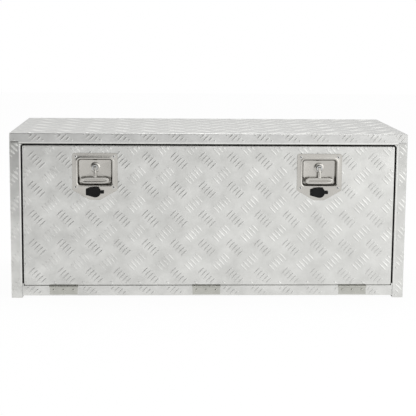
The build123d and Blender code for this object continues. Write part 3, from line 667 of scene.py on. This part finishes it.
# %% [markdown]
# Latch plates
#
# A latch plate is one pressing: a flat border, a soft raised bead, and a recess with sloping
# walls and a flat floor. Every ring of it, from the plate's edge to the hole for the spindle,
# is a loop round the spindle's axis. All loops share one list of polar angles, which holds the
# corners of both the border and the recess, so they can be joined point by point. The section
# is listed in millimetres: how far each ring lies outside the recess's outline, and how deep.
# Cutting the recess from a block would be shorter, but only bent sheet has these soft edges.

# %% Sections and loops of the pressing
recess_half, recess_up, recess_down, recess_round = 51 * mm, 26 * mm, -52 * mm, 8 * mm
recess_depth = 15 * mm
sharpest_round = 2 * mm
bead = [(8.4, 0), (7.2, -0.2), (6.0, -0.6), (5.0, -0.85), (4.3, -0.85), (3.9, -0.7), (1.9, 0.1),
        (1.5, 0.3)]
wall = [(0.6, 1.0), (-0.1, 2.6), (-2.2, 12.6), (-2.8, 13.9), (-3.9, 14.7), (-5.4, 15.0)]
pressing = np.array(bead + wall) * mm


def at_angles(outline, angles):
    """The points of an outline that lie at the given polar angles, on its own chords."""
    return read_off(angles, np.arctan2(outline[:, 1], outline[:, 0]), outline, 2 * np.pi)


def recess_loop(grow):
    """The recess's rounded rectangle, grown by a distance on every side."""
    low, high = recess_down - grow, recess_up + grow
    side = recess_half + grow
    return round_outline(rectangle(-side, side, low, high), max(recess_round + grow, sharpest_round))


def behind(section, thickness):
    """A section moved back by the sheet's thickness, at right angles to itself."""
    return section + thickness * left_of(unit(np.gradient(section, axis=0)))


print("the pressing's section has", len(pressing), "points")

# %% The pressed plates
spindle_hole = 10.2 * mm
edge_round = 0.5 * mm
plate_outline = round_outline(plate_corners, plate_rounds)
key_loops = np.concatenate([plate_outline, recess_loop(0)])
angles = np.unique(np.arctan2(key_loops[:, 1], key_loops[:, 0]).round(3))
circle = spindle_hole * np.stack([np.cos(angles), np.sin(angles)], axis=1)
border = at_angles(plate_outline, angles)
drawn_in = border * (1 - edge_round / np.linalg.norm(border, axis=1, keepdims=True))
edge = [(border, plate_t), (border, edge_round), (drawn_in, 0)]
face, back = ([(at_angles(recess_loop(grow), angles), depth) for grow, depth in section]
              for section in (pressing, behind(pressing, -plate_t)[::-1]))
rings = edge + face + [(circle, recess_depth), (circle, recess_depth + plate_t)] + back
plate_points = np.stack([np.insert(loop, 1, depth, axis=1) for loop, depth in rings])

# the recess's walls, from the bead's last ring to the bend above the floor, get the darker painted
# shade finish
wall_start = len(edge) + len(bead) - 1
wall_end = wall_start + len(wall) - 2
for name, latch in latches.items():
    piece = add_piece(f"{name}_pressed_plate", plate_points + latch,
                      grid_faces(len(rings), len(angles)), stainless, "door")
    piece.data.materials.append(painted_shade_wall)
    row = np.arange(len(piece.data.polygons)) // len(angles)
    painted_shade_faces = (row >= wall_start) & (row < wall_end)
    piece.data.polygons.foreach_set("material_index", painted_shade_faces.astype(np.int32))
    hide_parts(f"{name}_latch_plate")

# %% [markdown]
# The bar of a T-handle
#
# The handle is one casting: a bar with round ends and a groove along its front, a stem with a
# low rib, and an eye on the cross pin. The bar is a tube of sections set along X. Near its
# ends a section shrinks by the fourth root of 1 minus s to the fourth, s being the place along
# the bar from -1 to 1, which gives full, soft ends. The groove runs out before it gets there.

# %% Sections of the bar
handle_low, handle_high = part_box("right_t_handle")
bar_half_length = (handle_high.x - handle_low.x) / 2
grip_height, grip_depth, corner_round = 20 * mm, 8 * mm, 2.6 * mm
groove_half, groove_deep, groove_stop, groove_fade = 3.2 * mm, 2.0 * mm, 36 * mm, 4 * mm
bar_front = -2.3 * mm
bar_y = bar_front + grip_depth / 2
bar_z = handle_low.z + grip_height / 2 - latches["right"].z
bar_sections, last_section = 33, 0.995


def bar_section(groove):
    """The bar's section as depth and height: a rounded rectangle, and its groove's points."""
    block = round_outline(rectangle(-grip_depth / 2, grip_depth / 2, -grip_height / 2, grip_height / 2),
                          corner_round, steps=5)
    lips = np.array([1.0, 0.75, 0.4, -0.4, -0.75, -1.0])
    floor_of_groove = groove * np.array([0, 0.3, 1, 1, 0.3, 0])
    channel = np.stack([floor_of_groove - grip_depth / 2, lips * groove_half], axis=1)
    return np.concatenate([block, channel])


share = np.sin(np.linspace(-np.pi / 2, np.pi / 2, bar_sections)) * last_section
size = (1 - np.abs(share) ** 4) ** 0.25
groove = groove_deep * np.clip((groove_stop - np.abs(share) * bar_half_length) / groove_fade, 0, 1)
loops = np.stack([bar_section(deep) for deep in groove]) * size[:, None, None]
along = np.broadcast_to(share[:, None, None] * bar_half_length, (*loops.shape[:2], 1))
handle_bar = np.concatenate([along, loops], axis=2) + (0, bar_y, bar_z)
print("bar", round(bar_half_length * 2 / mm, 1), "mm long, groove up to", groove.max() / mm, "mm deep")

# %% [markdown]
# Its stem and eye
#
# The stem is a tube of sections down Z, from the eye to the bar. It grows wider and thinner on
# its way and comes forward, and its rib is a step in the front of each section. The eye is a
# short barrel round the cross pin, with eased edges.

# %% Sections of the stem and the eye
eye_y, eye_radius, eye_half = 4.7 * mm, 4.5 * mm, 4 * mm
# half width, half depth and rib height at places from the eye, 0, down to the bar, 1
down = np.linspace(0, 1, 9)[:, None]
width = np.interp(down, [0, 0.25, 0.6, 1], [4, 4, 4.8, 5.4]) * mm
depth = np.interp(down, [0, 1], [4, 3.2]) * mm
middle_y = np.interp(down, [0, 1], [eye_y, bar_y])
rib = np.interp(down, [0, 0.25, 0.4, 0.8, 1], [0, 0, 1, 1, 0.3]) * mm
plain_loop = round_outline(rectangle(-1, 1, -1, 1), 0.35, steps=4)
rib_loop = np.array([(0.3, -1.0), (0.16, -1.0), (-0.16, -1.0), (-0.3, -1.0)])
loop = np.concatenate([plain_loop, rib_loop])
rib_rise = np.concatenate([np.zeros(len(plain_loop)), [0, 1, 1, 0]])
order = np.argsort(np.arctan2(loop[:, 1], loop[:, 0]))
loop, rib_rise = loop[order], rib_rise[order]
stem_x, stem_y = loop[:, 0] * width, loop[:, 1] * depth + middle_y - rib_rise * rib
stem_z = np.broadcast_to(down * (bar_z + grip_height / 4), stem_x.shape)
handle_stem = np.stack([stem_x, stem_y, stem_z], axis=2)

turn = np.linspace(0, 2 * np.pi, 24, endpoint=False)
eye_along, eye_size = np.array([(-1, 0.84), (-0.92, 1), (0.92, 1), (1, 0.84)]).T[:, :, None]
handle_eye = np.stack([np.broadcast_to(eye_along * eye_half, (len(eye_along), len(turn))),
                       eye_size * eye_radius * np.cos(turn) + eye_y,
                       eye_size * eye_radius * np.sin(turn)], axis=2)
print("stem of", len(down), "sections, eye of", len(eye_size), "rings")

# %% The handles
for name, latch in latches.items():
    points, faces = [], []
    for part in (handle_bar, handle_stem, handle_eye):
        first = sum(len(some) for some in points)
        faces += [[first + k for k in face] for face in tube_faces(*part.shape[:2])]
        points.append((part + latch).reshape(-1, 3))
    piece = add_piece(f"{name}_cast_handle", np.concatenate(points), faces, stainless,
                      f"{name}_handle", sharp_deg=50)
    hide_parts(f"{name}_t_handle")

# %% [markdown]
# Rivets
#
# A rivet is a profile turned round its axis. The latch plates have blind rivets, pulled from
# the front: the broken steel mandrel shows in the hollow middle of each, so it is a piece of
# its own. The hinges have plain domed ones. All copies of one kind share one profile, listed
# in millimetres from the middle of the head to the middle of the tail.


# %% Turned pieces
def revolved(name, centres, profile, finish, body, turns=18, hollow=False):
    """Turn a profile of radius and depth about the front-to-back line through each centre.

    A point lies at the radius times the turn's cosine in X and its sine in Z. A hollow
    profile closes on itself round a bore, and any other is capped at both ends.
    """
    angle = np.linspace(0, 2 * np.pi, turns, endpoint=False)
    radius, depth = np.array(profile).T[:, :, None] * mm
    ring = np.stack([radius * np.cos(angle), np.broadcast_to(depth, (len(depth), turns)),
                     radius * np.sin(angle)], axis=2)
    points = np.asarray(centres, float)[:, None, None] + ring
    shell = grid_faces(*ring.shape[:2]) if hollow else tube_faces(*ring.shape[:2])
    return add_piece(name, points, copies(shell, ring.shape[0] * turns, len(points)), finish, body)


# %% The latch plates' rivets
rivet_x, rivet_up, rivet_down = 57 * mm, 34 * mm, -59.5 * mm
latch_centres = [latch + Vector((side * rivet_x, 0, level)) for latch in latches.values()
                 for side in (-1, 1) for level in (rivet_up, rivet_down)]
blind_profile = [(0.3, 1.4), (1.6, 1.3), (1.7, -1.3), (2.1, -1.9), (2.8, -1.9), (3.8, -1.3),
                 (4.5, -0.4), (4.6, 0), (2.2, 0), (2.2, 4.5), (3.6, 4.6), (3.4, 7.2), (0.3, 7.6)]
blind = revolved("blind_rivets", latch_centres, blind_profile, rivet_metal, "door")
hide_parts("latch_rivets")
mandrel_profile = [(0.3, -0.9), (1.3, -0.8), (1.5, -0.6), (1.5, 1.2), (0.3, 1.3)]
revolved("snapped_mandrels", latch_centres, mandrel_profile, mandrel_steel, "door")

# %% The hinges' rivets
rivet_pitch, leaf_t = 30 * mm, 1.5 * mm
rivet_low, rivet_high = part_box("hinge_sill_rivets")
rivet_z = (rivet_low.z + rivet_high.z) / 2
hinge_centres = [((low.x + high.x) / 2 + step * rivet_pitch, front - leaf_t, rivet_z)
                 for low, high in leaf_boxes for step in (-1, 0, 1)]
dome_profile = [(0.3, -2.0), (1.6, -1.9), (3.0, -1.4), (4.0, -0.7), (4.5, 0), (2.4, 0), (2.4, 3.5),
                (4.5, 3.5), (4.3, 5.0), (0.3, 5.5)]
domes = revolved("domed_rivets", hinge_centres, dome_profile, hinge_strip, "cabinet")
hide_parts("hinge_sill_rivets")

# %% [markdown]
# Spindle bushes
#
# The spindle turns in a bush that is pressed through the recess's floor. Its collar stands
# proud of the floor with a sloping rim, and a collar behind the floor holds it. It is turned
# like the rivets, but round a bore.

# %% Turned bushes
bush_profile = [(9.5, 12.4), (9.5, 10.6), (10.1, 10), (12, 10.2), (15.5, 12.2), (15.5, 14.9), (10, 15),
                (10, 16.5), (12.5, 16.5), (12.5, 19), (10, 19), (10, 30), (6.05, 30), (6.05, 12.5)]
for name, latch in latches.items():
    bush = revolved(f"{name}_turned_bush", [latch], bush_profile, stainless, "door",
                    turns=40, hollow=True)
    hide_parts(f"{name}_spindle_bush")

# %% [markdown]
# Key covers
#
# A key cover is a moulded flap: a disc with a blunt end at its pivot and a thumb tab at the
# other end. Its outline is drawn round the lock's axis: the straight side runs from the blunt
# end's corner along the disc's tangent, which touches it at the corner's angle minus the
# arccosine of radius over distance. Its face is rounded off in rings, and a boss caps the
# pivot post, so the whole flap is black.

# %% Outline of a flap
cover_low, cover_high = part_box("right_key_cover")
lock_low, lock_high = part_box("right_lock_barrel")
lock_x, lock_z = (lock_low.x + lock_high.x) / 2, (lock_low.z + lock_high.z) / 2
disc_radius, disc_x = 16.5 * mm, 1 * mm
tab_half, tab_cut = 4.8 * mm, 1.2 * mm
blunt_half, blunt_cut = 9.5 * mm, 1 * mm
left_end, tab_end = cover_low.x - lock_x, cover_high.x - lock_x
tab_angle = np.arcsin(tab_half / disc_radius)
to_blunt = np.array([left_end + blunt_cut - disc_x, blunt_half])
blunt_angle = np.arctan2(to_blunt[1], to_blunt[0]) - np.arccos(disc_radius / np.linalg.norm(to_blunt))
arc = np.linspace(tab_angle, blunt_angle, 13)
upper = np.stack([disc_x + disc_radius * np.cos(arc), disc_radius * np.sin(arc)], axis=1)
tab = [(tab_end, 0), (tab_end, tab_half - tab_cut), (tab_end - tab_cut, tab_half)]
blunt = [(left_end + blunt_cut, blunt_half), (left_end, blunt_half - blunt_cut), (left_end, 0)]
half_outline = np.concatenate([tab, upper, blunt])
flap = np.concatenate([half_outline, half_outline[-2:0:-1] * (1, -1)])
print("flap outline", len(flap), "points")

# %% The flaps and their bosses
cover_t = cover_high.y - cover_low.y
rounding = [(0, cover_t), (0, 0.9 * mm), (0.3 * mm, 0.3 * mm), (1.0 * mm, 0), (2.4 * mm, 0),
            (3.0 * mm, 0.35 * mm)]
radius = np.linalg.norm(flap, axis=1, keepdims=True)
flap_rings = np.stack([np.insert(flap * (1 - inset / radius), 1, cover_low.y + depth, axis=1)
                       for inset, depth in rounding])
pivot_x = -20.9 * mm
boss_profile = [(5.6, 0), (5.6, -1.4), (5.0, -2.1), (0.3, -2.2)]
for name, latch in latches.items():
    lock = Vector((latch.x, 0, latch.z + lock_z - latches["right"].z))
    piece = add_piece(f"{name}_moulded_cover", flap_rings + lock, tube_faces(*flap_rings.shape[:2]),
                      cover_rubber, f"{name}_key_cover")
    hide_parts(f"{name}_key_cover")
    revolved(f"{name}_cover_boss", [(lock.x + pivot_x, cover_low.y, lock.z)], boss_profile,
             cover_rubber, f"{name}_key_cover")

# %% [markdown]
# Weld beads
#
# The back sheet is welded between the side sheets with short runs of bead. A bead also joins
# each front post to the lip above it and to the end of the sill. A bead is a tube of round
# sections along its seam, which swells and shrinks once for every drop of weld metal. A plain
# rod would look like wire.

# %% A bead along a seam
drop, bead_rise = 3.2 * mm, 1.2 * mm
swell, blunt_end = 0.12, 0.15
per_drop, fewest, round_points = 6, 12, 10


def weld(name, start, end, across, outward, bead_half, finish):
    """A run of weld from start to end, widest across the seam and raised along outward.

    Each round section is scaled by 1 plus a small cosine of the distance along, and near an
    end by the root of the distance to it over the bead's half width.
    """
    start, end, across, outward = (np.asarray(value, float) for value in (start, end, across, outward))
    length = np.linalg.norm(end - start)
    share = np.linspace(0, 1, max(int(length / drop * per_drop), fewest))
    ripple = 1 + swell * np.cos(2 * np.pi * share * length / drop)
    to_end = np.minimum(share, 1 - share) * length
    size = ripple * np.clip(to_end / bead_half, blunt_end, 1) ** 0.5
    turn = np.linspace(0, 2 * np.pi, round_points, endpoint=False)
    wide, high = bead_half * np.cos(turn), bead_rise * np.sin(turn)
    section = wide[:, None] * across + high[:, None] * outward
    points = (start + share[:, None] * (end - start))[:, None] + size[:, None, None] * section
    add_piece(name, points, tube_faces(*points.shape[:2]), finish, "cabinet")


# %% Beads on the back and the posts
run, runs = 45 * mm, 4
back_bead, post_bead = 3 * mm, 1.7 * mm
forward = (0, -1, 0)
for name, x in (("left", back_low.x), ("right", back_high.x)):
    for i, z in enumerate(np.linspace(back_low.z + run, back_high.z - run, runs)):
        weld(f"{name}_back_weld_{i + 1}", (x, rear, z - run / 2), (x, rear, z + run / 2), X, Y,
             back_bead, tread_crown)
for (name, side), finish in zip(sides, (dull_weld, inner_sheet)):
    inner, outer, sill_end = side * strip_high.x, side * (half_width - bend), side * sill_high.x
    weld(f"{name}_lip_weld", (inner, front, top_low.z), (outer, front, top_low.z), Z, forward,
         post_bead, finish)
    weld(f"{name}_sill_weld", (sill_end, front, sill_low.z + margin), (sill_end, front, sill_top), X,
         forward, post_bead, inner_sheet)

# %% [markdown]
# The floor and the air
#
# The photograph shows the box on a plain white ground under broad soft boxes, so the studio is
# a white paper floor and pale air. Both are mostly plain white where they are seen, straight
# or in a reflection, and the small rest of the floor's shading keeps the object's shadow. The
# rays that only light the box meet air a little dimmer, so the lamps can shape it.


# %% White where it is seen
def white_where_seen(tree):
    """1 for rays from the camera and for reflected or refracted rays, else 0."""
    seen = add_node(tree, "LightPath").outputs
    glossy = add_node(tree, "Math", {0: seen["Is Camera Ray"], 1: seen["Is Glossy Ray"]},
                      operation="MAXIMUM")
    return add_node(tree, "Math", {0: glossy, 1: seen["Is Transmission Ray"]}, operation="MAXIMUM")


# %% The paper floor
floor_size = 18.0
white_light, kept_white = 1.03, 0.9
floor_white = bpy.data.materials.new("white_paper_sweep")
tree = empty_tree(floor_white)
paper = add_node(tree, "BsdfDiffuse", {"Color": linear("#F2F2F2")})
plain_white = add_node(tree, "Emission", {"Color": linear("#FFFFFF"), "Strength": white_light})
share = add_node(tree, "Math", {0: white_where_seen(tree), 1: kept_white}, operation="MULTIPLY")
mixed = add_node(tree, "MixShader", {0: share, 1: paper, 2: plain_white})
add_node(tree, "OutputMaterial", {"Surface": mixed})


def flat_sheet(name, width, height, finish):
    """A rectangle about its own middle."""
    mesh = bpy.data.meshes.new(name)
    corners = rectangle(-width / 2, width / 2, -height / 2, height / 2)
    mesh.from_pydata([(x, y, 0) for x, y in corners], [], [(0, 1, 2, 3)])
    mesh.materials.append(finish)
    return add_object(name, mesh)


floor = flat_sheet("floor", floor_size, floor_size, floor_white)
print("floor", floor_size, "m square")

# %% The air
air_light = 0.75
world = bpy.data.worlds.new("studio_air")
bpy.context.scene.world = world
tree = empty_tree(world)
air = add_node(tree, "Background", {"Color": linear("#F4F4F4"), "Strength": air_light})
white = add_node(tree, "Background", {"Color": linear("#FFFFFF"), "Strength": 1.0})
either = add_node(tree, "MixShader", {0: white_where_seen(tree), 1: air, 2: white})
add_node(tree, "OutputWorld", {"Surface": either})
print("air at", air_light, "of white")

# %% [markdown]
# Lamps and flags
#
# Bare metal shows what stands round it, so the light is shaped as much by dark cards as by
# lamps. A broad soft box at the front right lights the flanks that lean to the right and the
# box's right end. One overhead lights the top, and a weak one high at the back adds a sheen.
# A dark flag at the front left, high up, draws a dark line along the flanks that lean to the
# upper left and shades the left end's top. A second one overhead does the same for flanks
# that lean up, and two more keep the ends from washing out. The top mirrors the rear card.


# %% Soft boxes and flags
def facing(place, aim):
    """The placing of an object at a place whose own -Z looks at a point."""
    way = Vector(aim) - Vector(place)
    return Matrix.Translation(place) @ way.to_track_quat("-Z", "Y").to_matrix().to_4x4()


def soft_box(name, place, size, power):
    """A square area lamp that faces the middle of the box, its size in m and power in W."""
    lamp = bpy.data.lights.new(name, "AREA")
    lamp.shape, lamp.size, lamp.energy = "SQUARE", size, power
    add_object(name, lamp).matrix_world = facing(place, middle)
    print(name, size, "m", power, "W")


def flag(name, place, width, height, grey):
    """A card that the camera doesn't see, facing the middle of the box."""
    finish = bpy.data.materials.new(name)
    tree = empty_tree(finish)
    paint = add_node(tree, "Emission", {"Color": linear(grey), "Strength": 1.0})
    add_node(tree, "OutputMaterial", {"Surface": paint})
    made = flat_sheet(name, width, height, finish)
    made.matrix_world = facing(place, middle)
    made.visible_camera = made.visible_shadow = made.visible_diffuse = False
    print(name, width, "by", height, "m, grey", grey)


middle = (0.0, 0.0, 0.25)
soft_box("key_soft_box", (2.4, -3.0, 1.0), 2.8, 21.5)
soft_box("top_soft_box", (0.3, 0.2, 3.2), 1.3, 16)
soft_box("rear_soft_box", (0.2, 1.6, 2.5), 1.4, 2.6)
flag("upper_left_flag", (-1.6, -3.1, 1.45), 2.8, 2.2, "#484848")
flag("ceiling_flag", (0.0, -1.8, 2.6), 5.0, 1.2, "#383838")
flag("left_end_flag", (-3.0, 1.6, 1.5), 2.0, 2.0, "#505050")
flag("right_end_flag", (3.0, 1.6, 1.5), 2.0, 2.0, "#505050")
flag("rear_card", (0.0, 2.8, 0.9), 5.0, 1.4, "#D6D6D6")

# %% [markdown]
# The camera
#
# It stands where the photograph was taken from: three and a third metres in front of the box,
# a little to its left, and looks down by about eight degrees. The long lens keeps the box's
# upright edges nearly parallel, and a small shift moves the frame down without a tilt.

# %% The camera
image_size = 416
focal_px, shift_px = 1118.9, -33.0
camera_place = Vector((-0.1425, -3.5913, 0.852))
turn_deg, down_deg, roll_deg = 2.359, 8.041, -0.496
turn, down, roll = np.radians([turn_deg, down_deg, roll_deg])
ahead = Vector((np.sin(turn) * np.cos(down), np.cos(turn) * np.cos(down), -np.sin(down)))
level = Vector((np.cos(turn), -np.sin(turn), 0))
below = ahead.cross(level)
right_way = np.cos(roll) * level + np.sin(roll) * below
down_way = np.cos(roll) * below - np.sin(roll) * level
camera_data = bpy.data.cameras.new("camera")
camera_data.lens = focal_px / image_size * camera_data.sensor_width
camera_data.shift_y = shift_px / image_size
camera = add_object("camera", camera_data)
camera_turn = Matrix((right_way, -down_way, -ahead)).transposed()
camera.matrix_world = Matrix.Translation(camera_place) @ camera_turn.to_4x4()
bpy.context.scene.camera = camera
bpy.context.scene.view_settings.view_transform = "Standard"
print("lens", round(camera_data.lens, 1), "mm, camera at", list(camera_place))
